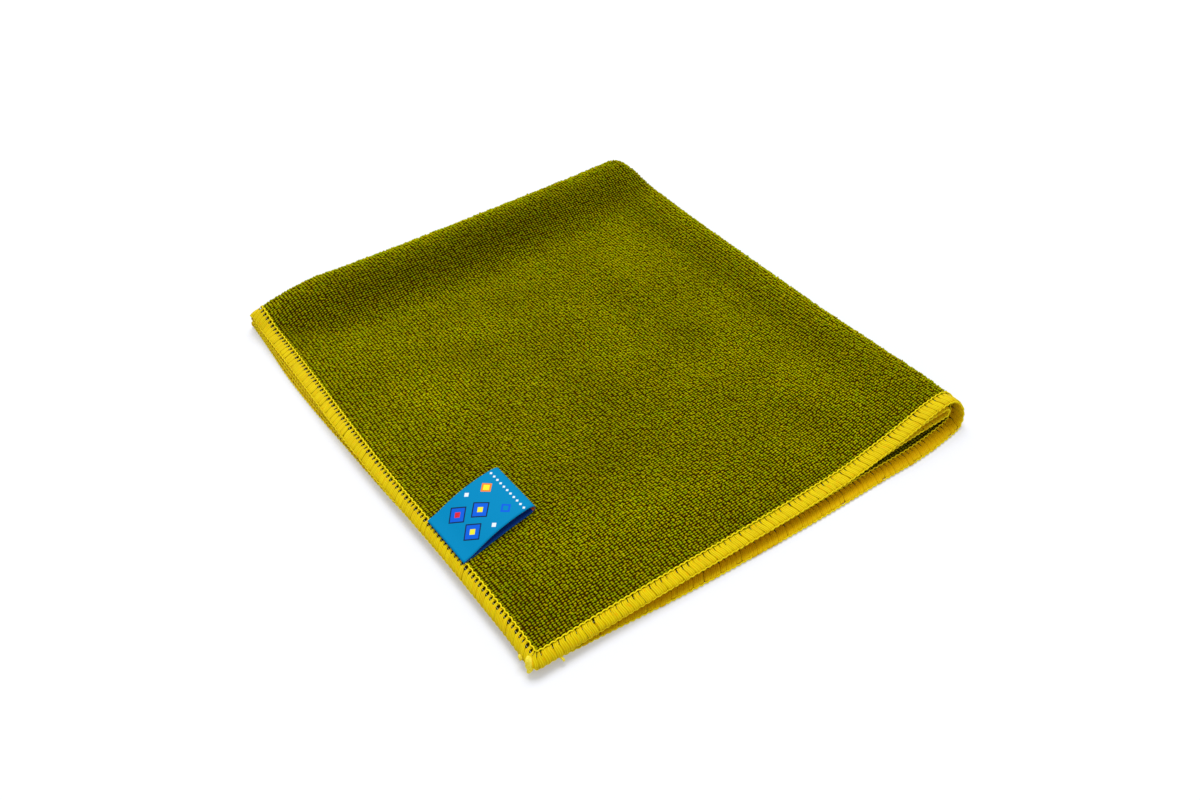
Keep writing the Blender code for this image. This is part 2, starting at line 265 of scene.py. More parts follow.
# Soft swellings of layer 1, where the stack below holds it up: u and v of the middle, half length
# along u and along v, height.
SWELLS = (
    (50, 66, 9, 16, 1.0),
    (80, 85, 9, 18, 0.7),
    (112, 64, 9, 9, 0.5),
    (156, 50, 10, 12, 0.8),
    (43, 112, 10, 12, 0.8),
    (88, 112, 10, 12, 0.9),
    (150, 100, 14, 18, 1.1),
    (68, 137, 14, 10, 0.7),
    (40, 163, 9, 12, 0.9),
    (64, 178, 7, 12, 0.7),
    (115, 174, 20, 8, 0.8),
    (150, 180, 14, 9, 0.9),
)
SWELL_MARGIN = 14.0

# Painted light and shade on the loops of layer 1: patches darker where the cloth's slopes face away
# from the light, and lighter along the crests of the folds. u and v of the middle, half length
# along u and along v, and how much lighter.
LIGHT_AND_SHADE_PATCHES = (
    (95, 19, 95, 10, -0.40),
    (60, 17, 40, 8, -0.08),
    (17, 100, 6, 90, -0.14),
    (18, 43, 7, 14, -0.12),
    (21, 85, 7, 9, -0.10),
    (57, 85, 6, 22, -0.12),
    (51, 109, 6, 6, -0.16),
    (90, 52, 14, 8, -0.08),
    (116, 70, 7, 7, -0.10),
    (98, 118, 9, 14, -0.10),
    (112, 142, 24, 14, -0.10),
    (80, 135, 6, 6, -0.12),
    (154, 119, 9, 7, -0.14),
    (45, 175, 6, 10, -0.12),
    (168, 180, 9, 16, -0.22),
    (90, 196, 90, 7, -0.12),
    (38, 60, 14, 18, 0.12),
    (112, 59, 9, 6, 0.14),
    (148, 50, 12, 14, 0.14),
    (140, 84, 13, 14, 0.18),
    (35, 118, 8, 16, 0.10),
    (82, 108, 9, 13, 0.12),
    (56, 132, 20, 9, 0.12),
    (33, 150, 10, 10, 0.16),
    (62, 182, 7, 12, 0.10),
    (124, 172, 22, 9, 0.12),
    (147, 168, 8, 10, 0.14),
    (90, 4, 95, 4, 0.30),
    (4, 100, 4, 95, 0.30),
)

# One overlock strand, over the cloth from the needle line to the rim and back underneath: distance
# out from the hem's inner side, height over the middle of the sheet, half width, half height, and
# how far the strand has leant along the hem.
STRAND = (
    # out, height, half_width, half_height, lean
    (0.02, 0.38, 0.86, 0.10, 0.00),
    (0.42, 0.47, 0.72, 0.12, 0.00),
    (1.25, 0.52, 0.72, 0.12, 0.00),
    (1.62, 0.52, 1.04, 0.17, 0.08),
    (2.40, 0.52, 1.18, 0.20, 0.40),
    (3.50, 0.50, 1.18, 0.20, 0.84),
    (4.30, 0.42, 1.12, 0.20, 1.12),
    (4.70, 0.24, 1.02, 0.18, 1.22),
    (4.86, 0.00, 0.84, 0.16, 1.25),
)
STRAND_SIDES = 8

# How far a strand's far side rolls down, and by what distance out it fully does.
STRAND_ROLL, ROLL_OVER = 0.05, 3.0

# A strand's share of its width: on edge A and on edge B, and between two distances out, where the
# stitch holes are.
WIDTH_A, WIDTH_B = 1.00, 1.05
SLOT_FROM, SLOT_TO = 0.3, 1.4
SLOT_A, SLOT_B = 0.80, 1.26

# How unlike the strands are: place as a share of the pitch, slow changes of width and how many
# stitches they take, quick changes of width, length at the rim and how much more it varies in the
# lower layers, and sway at the rim.
STRAND_STRAY = 0.05
WIDTH_SLOW, SLOW_STITCHES = 0.03, 9
WIDTH_QUICK = 0.015
LONGER, LONGER_LOWER = 0.10, 0.06
SWAY = 0.10

# Where a strand is painted in deep orange shade: on layer 1 half so round the rim, and half so
# underneath; and all over on the lower layers, in the depth of the stack, but less near the rim.
# Share, distance out from where, and over how far.
RIM_SHADE, RIM_SHADE_FROM, RIM_SHADE_OVER = 0.5, 4.2, 0.8
RIM_BRIGHT, RIM_BRIGHT_FROM, RIM_BRIGHT_OVER = 0.6, 3.4, 1.0

# How far each strand's pattern is from the last one's, across and along, and the width of a ply.
PATTERN_STEP = (3.37, 0.61)
PLY_WIDTH = 0.70

# The threads that run round the hem, on both faces: the line along its inner side, the needle
# thread seen between the strands, and the line along the rim. Distance out, depth of a scallop and
# its phase, height, radius, rings a stitch and sides.
HEM_THREADS = (
    # name, out, scallop, phase, height, radius, rings, sides
    ("overlock_line", 0.12, -0.42, 0.0, 0.76, 0.28, 5, 4),
    ("overlock_needle", 1.05, 0.0, 0.0, 0.40, 0.13, 2, 4),
    ("overlock_edge", HEM_WIDTH - 0.34, 0.40, 0.115, 0.16, 0.19, 5, 4),
)

# Lumpy ends of sewing yarn that hang off the hem at the front corner: radius, then points.
YARN_ENDS = (
    (
        1.00, (0.3, 1.2, 5.0), (-0.5, 0.4, 4.9), (-0.9, -0.4, 4.0),
        (-1.0, -0.9, 2.9), (-1.2, -0.8, 1.9), (-1.4, -0.2, 1.0),
    ),
    (0.50, (-1.3, 3.9, 4.2), (-1.7, 3.2, 3.9), (-1.6, 2.6, 3.0)),
    (0.40, (8.1, -2.9, 2.6), (8.3, -3.7, 2.0), (8.5, -4.0, 1.4)),
)

# Their mesh, the number, depth and twist of their lobes, and the square of how slim a cut end gets.
END_RINGS = 24
END_SIDES = 18
END_LOBES = 3
END_LOBE = 0.22
END_TWIST = 1.9
END_SLIM = 0.001

# The label's middle line, from its lower root out to the fold and back: distance from the root
# and height above the cloth.
LABEL_LINE = (
    (0.0, 0.42),
    (5.0, 0.44),
    (10.0, 0.50),
    (18.0, 0.55),
    (25.5, 0.60),
    (27.6, 0.80),
    (28.6, 1.30),
    (28.9, 2.00),
    (28.5, 2.65),
    (27.3, 3.15),
    (24.0, 3.50),
    (18.0, 3.55),
    (12.0, 3.10),
    (7.0, 2.10),
    (3.5, 1.25),
    (0.0, 0.80),
)


def ramp(a):
    """0 to 1 with level ends."""
    a = np.clip(a, 0.0, 1.0)
    return a * a * (3.0 - 2.0 * a)


def ellipse_arc():
    """Angles round a quarter of fold 1's ellipse, 1 high, and the arc's length up to each."""
    angle = np.linspace(0.0, np.pi / 2, TURN_SAMPLES + 1)
    steps = np.hypot(TURN_1_LENGTH * np.diff(np.cos(angle)), np.diff(np.sin(angle)))
    return angle, np.concatenate([[0.0], np.cumsum(steps)])


ARC_ANGLE, ARC_LENGTH = ellipse_arc()


def fold_1_turn(t, half_height):
    """For cloth at t from fold 1: its distance from the loop's end, how far it is from the turn's
    middle line, from 0 to 1, and half the distance between the two layers there."""
    angle = np.interp(t / half_height, ARC_LENGTH, ARC_ANGLE)
    turning = t < ARC_LENGTH[-1] * half_height
    turn_length = TURN_1_LENGTH * half_height
    straight = t - (ARC_LENGTH[-1] - TURN_1_LENGTH) * half_height
    back = np.where(turning, turn_length * (1.0 - np.cos(angle)), straight)
    side = np.where(turning, np.sin(angle), 1.0)
    closing = ramp((back - turn_length) / (TURN_1_TAIL * half_height))
    half_gap = LAYER_PITCH / 2 + (half_height - LAYER_PITCH / 2) * (1.0 - closing)
    return back, side, half_gap


def fold_2_turn(s, radius):
    """The same two values round the half circle of fold 2."""
    angle = np.minimum(s / radius, np.pi / 2)
    straight = s - (np.pi / 2 - 1.0) * radius
    back = np.where(s < np.pi / 2 * radius, radius * (1.0 - np.cos(angle)), straight)
    return back, np.sin(angle)


def folded(u, v):
    """Where the middle of the sheet lies for cloth at u, v, as x, y, z in millimetres."""
    u, v = np.broadcast_arrays(np.asarray(u, float), np.asarray(v, float))
    s, t = np.abs(u), np.abs(v)
    upper, outer = u >= 0, v >= 0

    half_height = FOLD_1.at("half_height", s)
    back_1, side_1, half_gap = fold_1_turn(t, half_height)
    share = (1.0 + np.where(outer, side_1, -side_1)) / 2
    end_1 = np.where(upper, FOLD_1.at("upper_y", s), FOLD_1.at("lower_y", s))
    rim_outer = np.where(upper, EDGE_B.at("layer_1", s), EDGE_B.at("layer_4", s))
    rim_inner = np.where(upper, EDGE_B.at("layer_2", s), EDGE_B.at("layer_3", s))
    rim_y = share * rim_outer + (1.0 - share) * rim_inner
    back_at_rim = HALF_V - (ARC_LENGTH[-1] - TURN_1_LENGTH) * half_height
    y = rim_y + (end_1 - rim_y) * (1.0 - back_1 / back_at_rim)

    inside = ramp((HALF_V - t) / SOFT_MARGIN) * ramp((HALF_U - s) / SOFT_MARGIN)
    inside = inside * ramp((t - SOFT_MARGIN / 2) / SOFT_MARGIN)
    height_3 = BOTTOM_MIDDLE + 2.0 * half_gap
    height_2 = height_3 + LAYER_PITCH + SOFT_LOFT * inside
    height_1 = height_2 + 2.0 * half_gap

    rim_x = np.where(
        upper,
        np.where(outer, EDGE_A.at("layer_1", y), EDGE_A.at("layer_2", y)),
        np.where(outer, EDGE_A.at("layer_4", y), EDGE_A.at("layer_3", y)),
    )
    reach = FOLD_2.at("reach", y)

    def loop(end_x, top, low, top_rise, low_rise):
        radius = (top + top_rise - low - low_rise) / 2
        back, side = fold_2_turn(s, radius)
        rising = 1.0 - ramp((back - radius) / reach)
        top_z, low_z = top + top_rise * rising, low + low_rise * rising
        z = (top_z + low_z) / 2 + np.where(upper, side, -side) * (top_z - low_z) / 2
        x = rim_x + (end_x - rim_x) * (1.0 - back / (HALF_U - (np.pi / 2 - 1.0) * radius))
        return x, z

    outer_x, outer_z = loop(
        FOLD_2.at("outer_x", y), height_1, BOTTOM_MIDDLE, FOLD_2.at("rise_1", y), 0.0
    )
    inner_x, inner_z = loop(
        FOLD_2.at("inner_x", y), height_2, height_3, FOLD_2.at("rise_2", y), FOLD_2.at("rise_3", y)
    )
    x = share * outer_x + (1.0 - share) * inner_x
    z = share * outer_z + (1.0 - share) * inner_z

    on_top = np.where(upper & outer, 1.0, 0.0)
    roll_a = on_top * EDGE_A.at("roll", y) * rolled(HALF_U - s)
    roll_b = on_top * EDGE_B.at("roll", s) * rolled(HALF_V - t)
    z = z - np.maximum(roll_a, roll_b) + on_top * swelling(s, t)
    return np.stack([x + ROLL_IN * roll_a, y + ROLL_IN * roll_b, z], -1)


def rolled(from_rim):
    """The share of a rim's roll that cloth at this distance from the rim takes part in."""
    return np.clip(1.0 - from_rim / ROLL_WIDTH, 0.0, None) ** 2


def swelling(s, t):
    """How much higher layer 1 lies for its soft unevenness."""
    height = 0.0
    for middle_u, middle_v, along_u, along_v, most in SWELLS:
        height = height + most * mound(s, t, middle_u, middle_v, along_u, along_v)
    return height * ramp((HALF_U - s) / SWELL_MARGIN) * ramp((HALF_V - t) / SWELL_MARGIN)


def mound(u, v, middle_u, middle_v, along_u, along_v):
    """1 in the middle, falling softly to 0 past the half lengths along u and along v."""
    return np.exp(-(((u - middle_u) / along_u) ** 2) - ((v - middle_v) / along_v) ** 2)


def unit(vectors):
    return vectors / np.linalg.norm(vectors, axis=-1, keepdims=True)


def slopes(u, v):
    """How a point of the sheet moves for each millimetre along u, and along v."""
    along_u = folded(u + SLOPE_STEP, v) - folded(u - SLOPE_STEP, v)
    along_v = folded(u, v + SLOPE_STEP) - folded(u, v - SLOPE_STEP)
    return along_u / (2 * SLOPE_STEP), along_v / (2 * SLOPE_STEP)


def on_floor(points):
    """The same points, none of them under the floor."""
    points[..., 2] = np.maximum(points[..., 2], FLOOR) - FLOOR
    return points


def raised(u, v, w):
    """A point w millimetres out from the middle of the sheet; w is upward on layer 1."""
    u, v = np.asarray(u, float), np.asarray(v, float)
    outward = unit(np.cross(*slopes(u, v)))
    return on_floor(folded(u, v) + np.asarray(w, float)[..., None] * outward)


# -------- meshes


def added(name, data):
    """A new object in the scene."""
    thing = bpy.data.objects.new(name, data)
    bpy.context.scene.collection.objects.link(thing)
    return thing


def quad_mesh(name, points, quads, uv, shift, **shades):
    """A smooth mesh from points in millimetres, each with one UV pair and some shades."""
    mesh = bpy.data.meshes.new(name)
    mesh.vertices.add(len(points))
    mesh.vertices.foreach_set("co", ((points + shift) * MM).astype(np.float32).ravel())
    mesh.loops.add(quads.size)
    mesh.loops.foreach_set("vertex_index", quads.astype(np.int32).ravel())
    mesh.polygons.add(len(quads))
    mesh.polygons.foreach_set("loop_start", np.arange(0, quads.size, 4, dtype=np.int32))
    mesh.update(calc_edges=True)
    layer = mesh.uv_layers.new(name="flat")
    layer.data.foreach_set("uv", uv[quads.ravel()].astype(np.float32).ravel())
    for shade, values in shades.items():
        attribute = mesh.attributes.new(shade, "FLOAT", "POINT")
        attribute.data.foreach_set("value", values.astype(np.float32))
    mesh.shade_smooth()
    return added(name, mesh)


def joined(name, tubes, shift):
    """One mesh of several tubes, each given as points, UV pairs and faces."""
    all_points, all_uv, all_quads = [], [], []
    start = 0
    for points, uv, quads in tubes:
        all_points.append(points.reshape(-1, 3))
        all_uv.append(uv.reshape(-1, 2))
        all_quads.append(quads + start)
        start += len(all_points[-1])
    return quad_mesh(name, *map(np.concatenate, (all_points, all_quads, all_uv)), shift)


def circle(sides):
    """The angles of a ring's points."""
    return np.linspace(0, 2 * np.pi, sides, endpoint=False)


def run_along(line):
    """The distance run along a line, up to each of its points."""
    steps = np.linalg.norm(np.diff(line, axis=0), axis=1)
    return np.concatenate([[0.0], np.cumsum(steps)])


def tube_quads(rings, sides, closed=False):
    """Faces of one tube whose points are numbered ring by ring."""
    ring = np.arange(rings if closed else rings - 1)
    i, j = np.meshgrid(ring, np.arange(sides), indexing="ij")
    here, ahead, after = i * sides, (i + 1) % rings * sides, (j + 1) % sides
    return np.stack([here + j, here + after, ahead + after, ahead + j], -1).reshape(-1, 4)


def repeated(quads, count, points_each):
    """The same faces for each of many like shapes."""
    starts = np.arange(count)[:, None, None] * points_each
    return (quads[None] + starts).reshape(-1, 4)


def side_places(half):
    """Mesh lines over a side of the cloth: close at the fold, wide between, close at the edge."""
    near = half - np.array(PANEL_EDGE)
    places = [0.0]
    step = PANEL_STEP
    while places[-1] + step < near[0] - step / 2:
        places.append(places[-1] + step)
        step = min(step * PANEL_GROWTH, PANEL_WIDEST)
    side = np.array(places + list(near))
    return np.concatenate([-side[:0:-1], side])


def has_loops(u, v):
    """Where the cloth's own loops are modelled: layer 1 and the outer sides of the folds."""
    top = (u > -LOOPS_PAST_FOLD_2) & (v > -LOOPS_PAST_FOLD_1)
    return top | (np.abs(v) < LOOPS_PAST_FOLD_1)


def cloth_sheet(shift):
    """The knit panel, squeezed thin where the stitches hold it."""
    u, v = np.meshgrid(side_places(HALF_U), side_places(HALF_V), indexing="ij")
    from_rim = np.minimum(HALF_U - np.abs(u), HALF_V - np.abs(v))
    corner = (np.abs(u) > HALF_U - CORNER_SIZE) & (np.abs(v) > HALF_V - CORNER_SIZE)
    u, v = (np.where(corner, place - CORNER_TUCK * np.sign(place), place) for place in (u, v))
    squeeze = ramp((from_rim - HEM_WIDTH + HEM_COVER) / HEM_SQUEEZE)
    thick = HEM_HALF_THICK + (CLOTH_HALF_THICK - HEM_HALF_THICK) * np.sqrt(squeeze)
    # 1 in the open, 0 in the stitch holes, painted near black there as their shade, below 0 under
    # the fuzz.
    tone = ramp((from_rim - BARE_FROM) / BARE_FADE) - ramp((FUZZ_FROM - from_rim) / FUZZ_FADE)
    # Under the standing loops the panel is painted dark, as the shade between them.
    covered = has_loops(u, v)
    ground = np.minimum(thick, np.where(covered, LOOP_GROUND, CLOTH_HALF_THICK))
    front, back = raised(u, v, ground), raised(u, v, -thick)

    behind = u.size
    number = np.arange(behind).reshape(u.shape)
    square = [number[:-1, :-1], number[1:, :-1], number[1:, 1:], number[:-1, 1:]]
    square = np.stack(square, -1).reshape(-1, 4)
    rim = [number[:, 0], number[-1, 1:], number[-2::-1, -1], number[0, -2:0:-1]]
    rim = np.concatenate(rim)
    following = np.roll(rim, -1)
    edge_faces = np.stack([following, rim, behind + rim, behind + following], -1)
    quads = np.concatenate([square, behind + square[:, ::-1], edge_faces])
    points = np.concatenate([front.reshape(-1, 3), back.reshape(-1, 3)])
    flat = np.stack([u.ravel(), v.ravel()], -1) * MM
    return quad_mesh(
        "cloth_knit", points, quads, np.concatenate([flat, flat + BACK_ON]), shift,
        tone=np.tile(tone.ravel(), 2), covered=np.concatenate([covered.ravel(), np.zeros(behind)]),
    )


def wander(u, v, waves):
    """How far a rib or a row strays from its straight line."""
    return LOOP_DRIFT * sum(
        share * np.sin(u / over_u + v / over_v + phase) for over_u, over_v, phase, share in waves
    )


def loops(shift, chance):
    """The knit's standing loops, each a small rounded knob, uneven in place, size and height."""
    ribs = np.arange(-HALF_U + HEM_WIDTH + RIB_PITCH / 2, HALF_U - HEM_WIDTH, RIB_PITCH)
    rows = np.arange(-HALF_V + HEM_WIDTH + LOOP_PITCH / 2, HALF_V - HEM_WIDTH, LOOP_PITCH)
    u, v = (places.ravel() for places in np.meshgrid(ribs, rows, indexing="ij"))
    kept = has_loops(u, v)
    u, v = u[kept], v[kept]
    count = len(u)
    drift, sag = wander(u, v, RIB_WAVES), wander(u, v, ROW_WAVES)
    u = u + drift + LOOP_STRAY * RIB_PITCH * chance.standard_normal(count)
    v = v + sag + LOOP_STRAY * LOOP_PITCH * chance.standard_normal(count)
    size = 1.0 + LOOP_SIZE * chance.standard_normal(count)
    turn = LOOP_TURN * chance.standard_normal(count)
    tall = np.clip(1.0 + LOOP_TALL * chance.standard_normal(count), *LOOP_TALLS)
    tip_u, tip_v = LOOP_LEAN * chance.standard_normal((2, count))
    own = chance.random(count)
    # Painted light and shade over layer 1's loops, from the listed patches.
    lie = 1.0 + sum(share * mound(u, v, *place) for *place, share in LIGHT_AND_SHADE_PATCHES)
    middle = folded(u, v)
    along_u, along_v = slopes(u, v)
    up = unit(np.cross(along_u, along_v))

    def point(du, dv, height):
        lift = LOOP_GROUND + height * tall
        return middle + du[:, None] * along_u + dv[:, None] * along_v + lift[:, None] * up

    rings = []
    for radius, height, tip in LOOP_RINGS:
        for quarter in range(4):
            angle = quarter * np.pi / 2 + turn
            du = radius * size * np.cos(angle) * RIB_PITCH + tip * tip_u
            dv = radius * size * np.sin(angle) * LOOP_PITCH + tip * tip_v
            rings.append(point(du, dv, height))
    rings.append(point(tip_u, tip_v, LOOP_HEIGHT))
    points = on_floor(np.stack(rings, 1))
    each = points.shape[1]
    top = [(8, 4, 5, 6), (8, 6, 7, 4)]
    quads = np.concatenate([tube_quads(2, 4), top])
    # Painted shading of each point: dark at the foot, where the loops shade one another, full at
    # the tip.
    shade = np.repeat(LOOP_RING_SHADING, (4, 4, 1))
    flat = np.stack([u, v], -1) * MM
    pieces = []
    for number, part in enumerate(np.array_split(np.arange(count), LOOP_PIECES), 1):
        pieces.append(quad_mesh(
            f"cloth_loops_{number}", points[part].reshape(-1, 3),
            repeated(quads, len(part), each), np.repeat(flat[part], each, axis=0), shift,
            tone=np.tile(shade, len(part)),
            own=np.repeat(own[part], each), lie=np.repeat(lie[part], each),
        ))
    return pieces


# -------- overlock


def hem_path():
    """Flat points on the hem's inner side and on its rim, anticlockwise, by the distance sewn."""
    inner, rim = [], []
    for number, signs in enumerate(((1, 1), (-1, 1), (-1, -1), (1, -1))):
        corner = np.array([HALF_U, HALF_V])
        inner_middle = signs * (corner - HEM_WIDTH - HEM_INNER_RADIUS)
        rim_middle = signs * (corner - HEM_OUTER_RADIUS)
        for angle in (number + np.linspace(0.0, 1.0, CORNER_SAMPLES + 1)) * np.pi / 2:
            turn = np.array([np.cos(angle), np.sin(angle)])
            inner.append(inner_middle + HEM_INNER_RADIUS * turn)
            rim.append(rim_middle + HEM_OUTER_RADIUS * turn)
    inner, rim = np.array(inner + inner[:1]), np.array(rim + rim[:1])
    return run_along((1.0 - SEWN_AT) * inner + SEWN_AT * rim), inner, rim


SEWN, HEM_INNER, HEM_RIM = hem_path()
HEM_LENGTH = SEWN[-1]
STITCHES = int(round(HEM_LENGTH / STITCH_PITCH))


def on_hem(sewn, out, height):
    """A point of the hem: how far along it is sewn, how far out from its inner side, how high."""
    sewn = np.mod(sewn, HEM_LENGTH)
    share = out / HEM_WIDTH
    u, v = (
        np.interp(sewn, SEWN, inner) * (1 - share) + np.interp(sewn, SEWN, rim) * share
        for inner, rim in zip(HEM_INNER.T, HEM_RIM.T)
    )
    return raised(u, v, height)


def strands(shift, chance):
    """Each stitch's strand of soft yarn, laid over the edge from one face to the other."""
    half = np.array(STRAND)
    path = np.concatenate([half, half[-2::-1] * (1, -1, 1, 1, 1)])
    out, height, half_width, half_height, lean = path.T
    slope = unit(np.gradient(path[:, :2], axis=0))
    lift_out, lift_up = -slope[:, 1], slope[:, 0]

    order = np.arange(STITCHES)
    changes = STITCHES // SLOW_STITCHES
    place = order + STRAND_STRAY * chance.standard_normal(STITCHES)
    place = place * HEM_LENGTH / STITCHES
    slow = np.interp(order, np.linspace(0, STITCHES, changes), chance.uniform(-1, 1, changes))
    quick = chance.standard_normal(STITCHES)
    middle_u, middle_v = (np.interp(place, SEWN, inner) for inner in HEM_INNER.T)
    on_a = np.abs(middle_u) > HALF_U - HEM_WIDTH - CLOSE
    lower = np.where((middle_u > 0) & (middle_v > 0), 0.0, 1.0)
    fat = np.where(on_a, WIDTH_A, WIDTH_B) + WIDTH_SLOW * slow + WIDTH_QUICK * quick
    longer = (LONGER + LONGER_LOWER * lower) * chance.standard_normal(STITCHES)
    sway = SWAY * chance.standard_normal(STITCHES)
    tone = chance.random(STITCHES)

    # Painted shade of the yarn: round the rim and underneath on layer 1, and over the lower layers.
    underneath = np.arange(len(path)) >= len(half)
    deep_round = RIM_SHADE * (ramp((out - RIM_SHADE_FROM) / RIM_SHADE_OVER) + underneath)
    deep_lower = 1.0 - RIM_BRIGHT * ramp((out - RIM_BRIGHT_FROM) / RIM_BRIGHT_OVER)

    rings = np.arange(len(path))
    stitch, ring, side = np.meshgrid(order, rings, circle(STRAND_SIDES), indexing="ij")
    slot = (out[ring] > SLOT_FROM) & (out[ring] < SLOT_TO)
    waist = np.where(slot, np.where(on_a[stitch], SLOT_A, SLOT_B), 1.0)
    across = np.cos(side) * half_width[ring] * fat[stitch] * waist
    up = np.sin(side) * half_height[ring]
    up = up - STRAND_ROLL * np.cos(side) * ramp(out[ring] / ROLL_OVER)
    far = ramp(out[ring] / HEM_WIDTH)
    sewn = place[stitch] + lean[ring] + sway[stitch] * far + across
    outward_by = out[ring] + lift_out[ring] * up + longer[stitch] * far
    points = on_hem(sewn, outward_by, height[ring] + lift_up[ring] * up)
    quads = repeated(tube_quads(len(path), STRAND_SIDES), STITCHES, len(path) * STRAND_SIDES)
    step_across, step_along = PATTERN_STEP
    uv = [across + stitch * step_across, ring / len(path) + stitch * step_along]
    deep = np.maximum(lower[stitch] * deep_lower[ring], deep_round[ring])
    return quad_mesh(
        "overlock_strands", points.reshape(-1, 3), quads, np.stack(uv, -1).reshape(-1, 2), shift,
        tone=tone[stitch].ravel(), deep=deep.ravel(),
    )


def hem_thread(name, out_at, scallop, offset, height_at, radius, steps, sides, shift):
    """A thread that runs all the way round the hem, on both faces of the cloth."""
    count = STITCHES * steps
    sewn = np.arange(count) * HEM_LENGTH / count
    phase = np.arange(count) / steps
    angle = circle(sides)
    line = out_at + scallop * np.abs(np.sin(np.pi * (phase - offset)))
    out = line[:, None] + radius * np.cos(angle)
    height = np.broadcast_to(height_at + radius * np.sin(angle), out.shape)
    uv = np.stack(np.meshgrid(phase, angle / (2 * np.pi), indexing="ij"), -1)
    quads = tube_quads(count, sides, closed=True)
    faces = ((1.0, quads), (-1.0, quads[:, ::-1]))
    tubes = [(on_hem(sewn[:, None], out, face * height), uv, turned) for face, turned in faces]
    return joined(name, tubes, shift)


def yarn_ends(shift):
    """The cut ends of the overlock yarn, short twists with a few lobes."""
    angle = circle(END_SIDES)
    quads = tube_quads(END_RINGS, END_SIDES)
    tubes = []
    for radius, *knots in YARN_ENDS:
        run = run_along(knots)
        curve = Table("run x y z", np.column_stack([run, knots]))
        place = np.linspace(0.0, run[-1], END_RINGS)
        line = np.stack([curve.at(axis, place) for axis in "xyz"], -1)
        along = unit(np.gradient(line, axis=0))
        side = unit(np.cross(along, (1.0, 0.0, 0.0)))
        other = np.cross(side, along)
        slim = np.sqrt(np.clip(1.0 - (2.0 * place / run[-1] - 1.0) ** 4, END_SLIM, 1.0))
        lobes = 1.0 + END_LOBE * np.cos(END_LOBES * angle + END_TWIST * place[:, None])
        ring = (radius * slim[:, None] * lobes)[..., None]
        turn = np.cos(angle)[:, None] * side[:, None] + np.sin(angle)[:, None] * other[:, None]
        uv = np.stack(np.meshgrid(place, angle / 2, indexing="ij"), -1)
        tubes.append((on_floor(line[:, None] + ring * turn), uv, quads))
    return joined("overlock_ends", tubes, shift)


# -------- label


def label_ribbon(shift):
    """The ribbon: out over the cloth, round its own fold and back under the stitches."""
    run = run_along(LABEL_LINE)
    fine = np.linspace(0.0, run[-1], LABEL_STEPS_ALONG)
    curve = Table("run out height", np.column_stack([run, LABEL_LINE]))
    line = np.stack([curve.at("out", fine), curve.at("height", fine)], -1)
    along = unit(np.gradient(line, axis=0))
    side = np.stack([-along[:, 1], along[:, 0]], 1) * LABEL_HALF_THICK
    ring = np.concatenate([line + side, (line - side)[::-1]])
    along_ribbon = np.concatenate([fine, fine[::-1]])
    across = np.linspace(-LABEL_WIDTH / 2, LABEL_WIDTH / 2, LABEL_STEPS_ACROSS)
    u = HALF_U - LABEL_ROOT_FROM_RIM - ring[:, 0]
    v = LABEL_MIDDLE_V - LABEL_SLANT * ring[:, 0]
    u, v = np.broadcast_arrays(u[None, :], v[None, :] + across[:, None])
    points = raised(u, v, CLOTH_HALF_THICK - LABEL_SINK + ring[:, 1])

    rows, count = u.shape
    half = count // 2
    j = np.arange(half - 1)
    first = np.stack([j, count - 1 - j, count - 2 - j, j + 1], -1)
    last = (rows - 1) * count + first[:, ::-1]
    quads = np.concatenate([tube_quads(rows, count), first, last])
    printed_at = along_ribbon + LINING * (np.arange(count) < half)
    uv = np.stack(np.broadcast_arrays(printed_at[None, :], across[:, None]), -1) * MM
    return quad_mesh("label_ribbon", points.reshape(-1, 3), quads, uv.reshape(-1, 2), shift)


# -------- materials


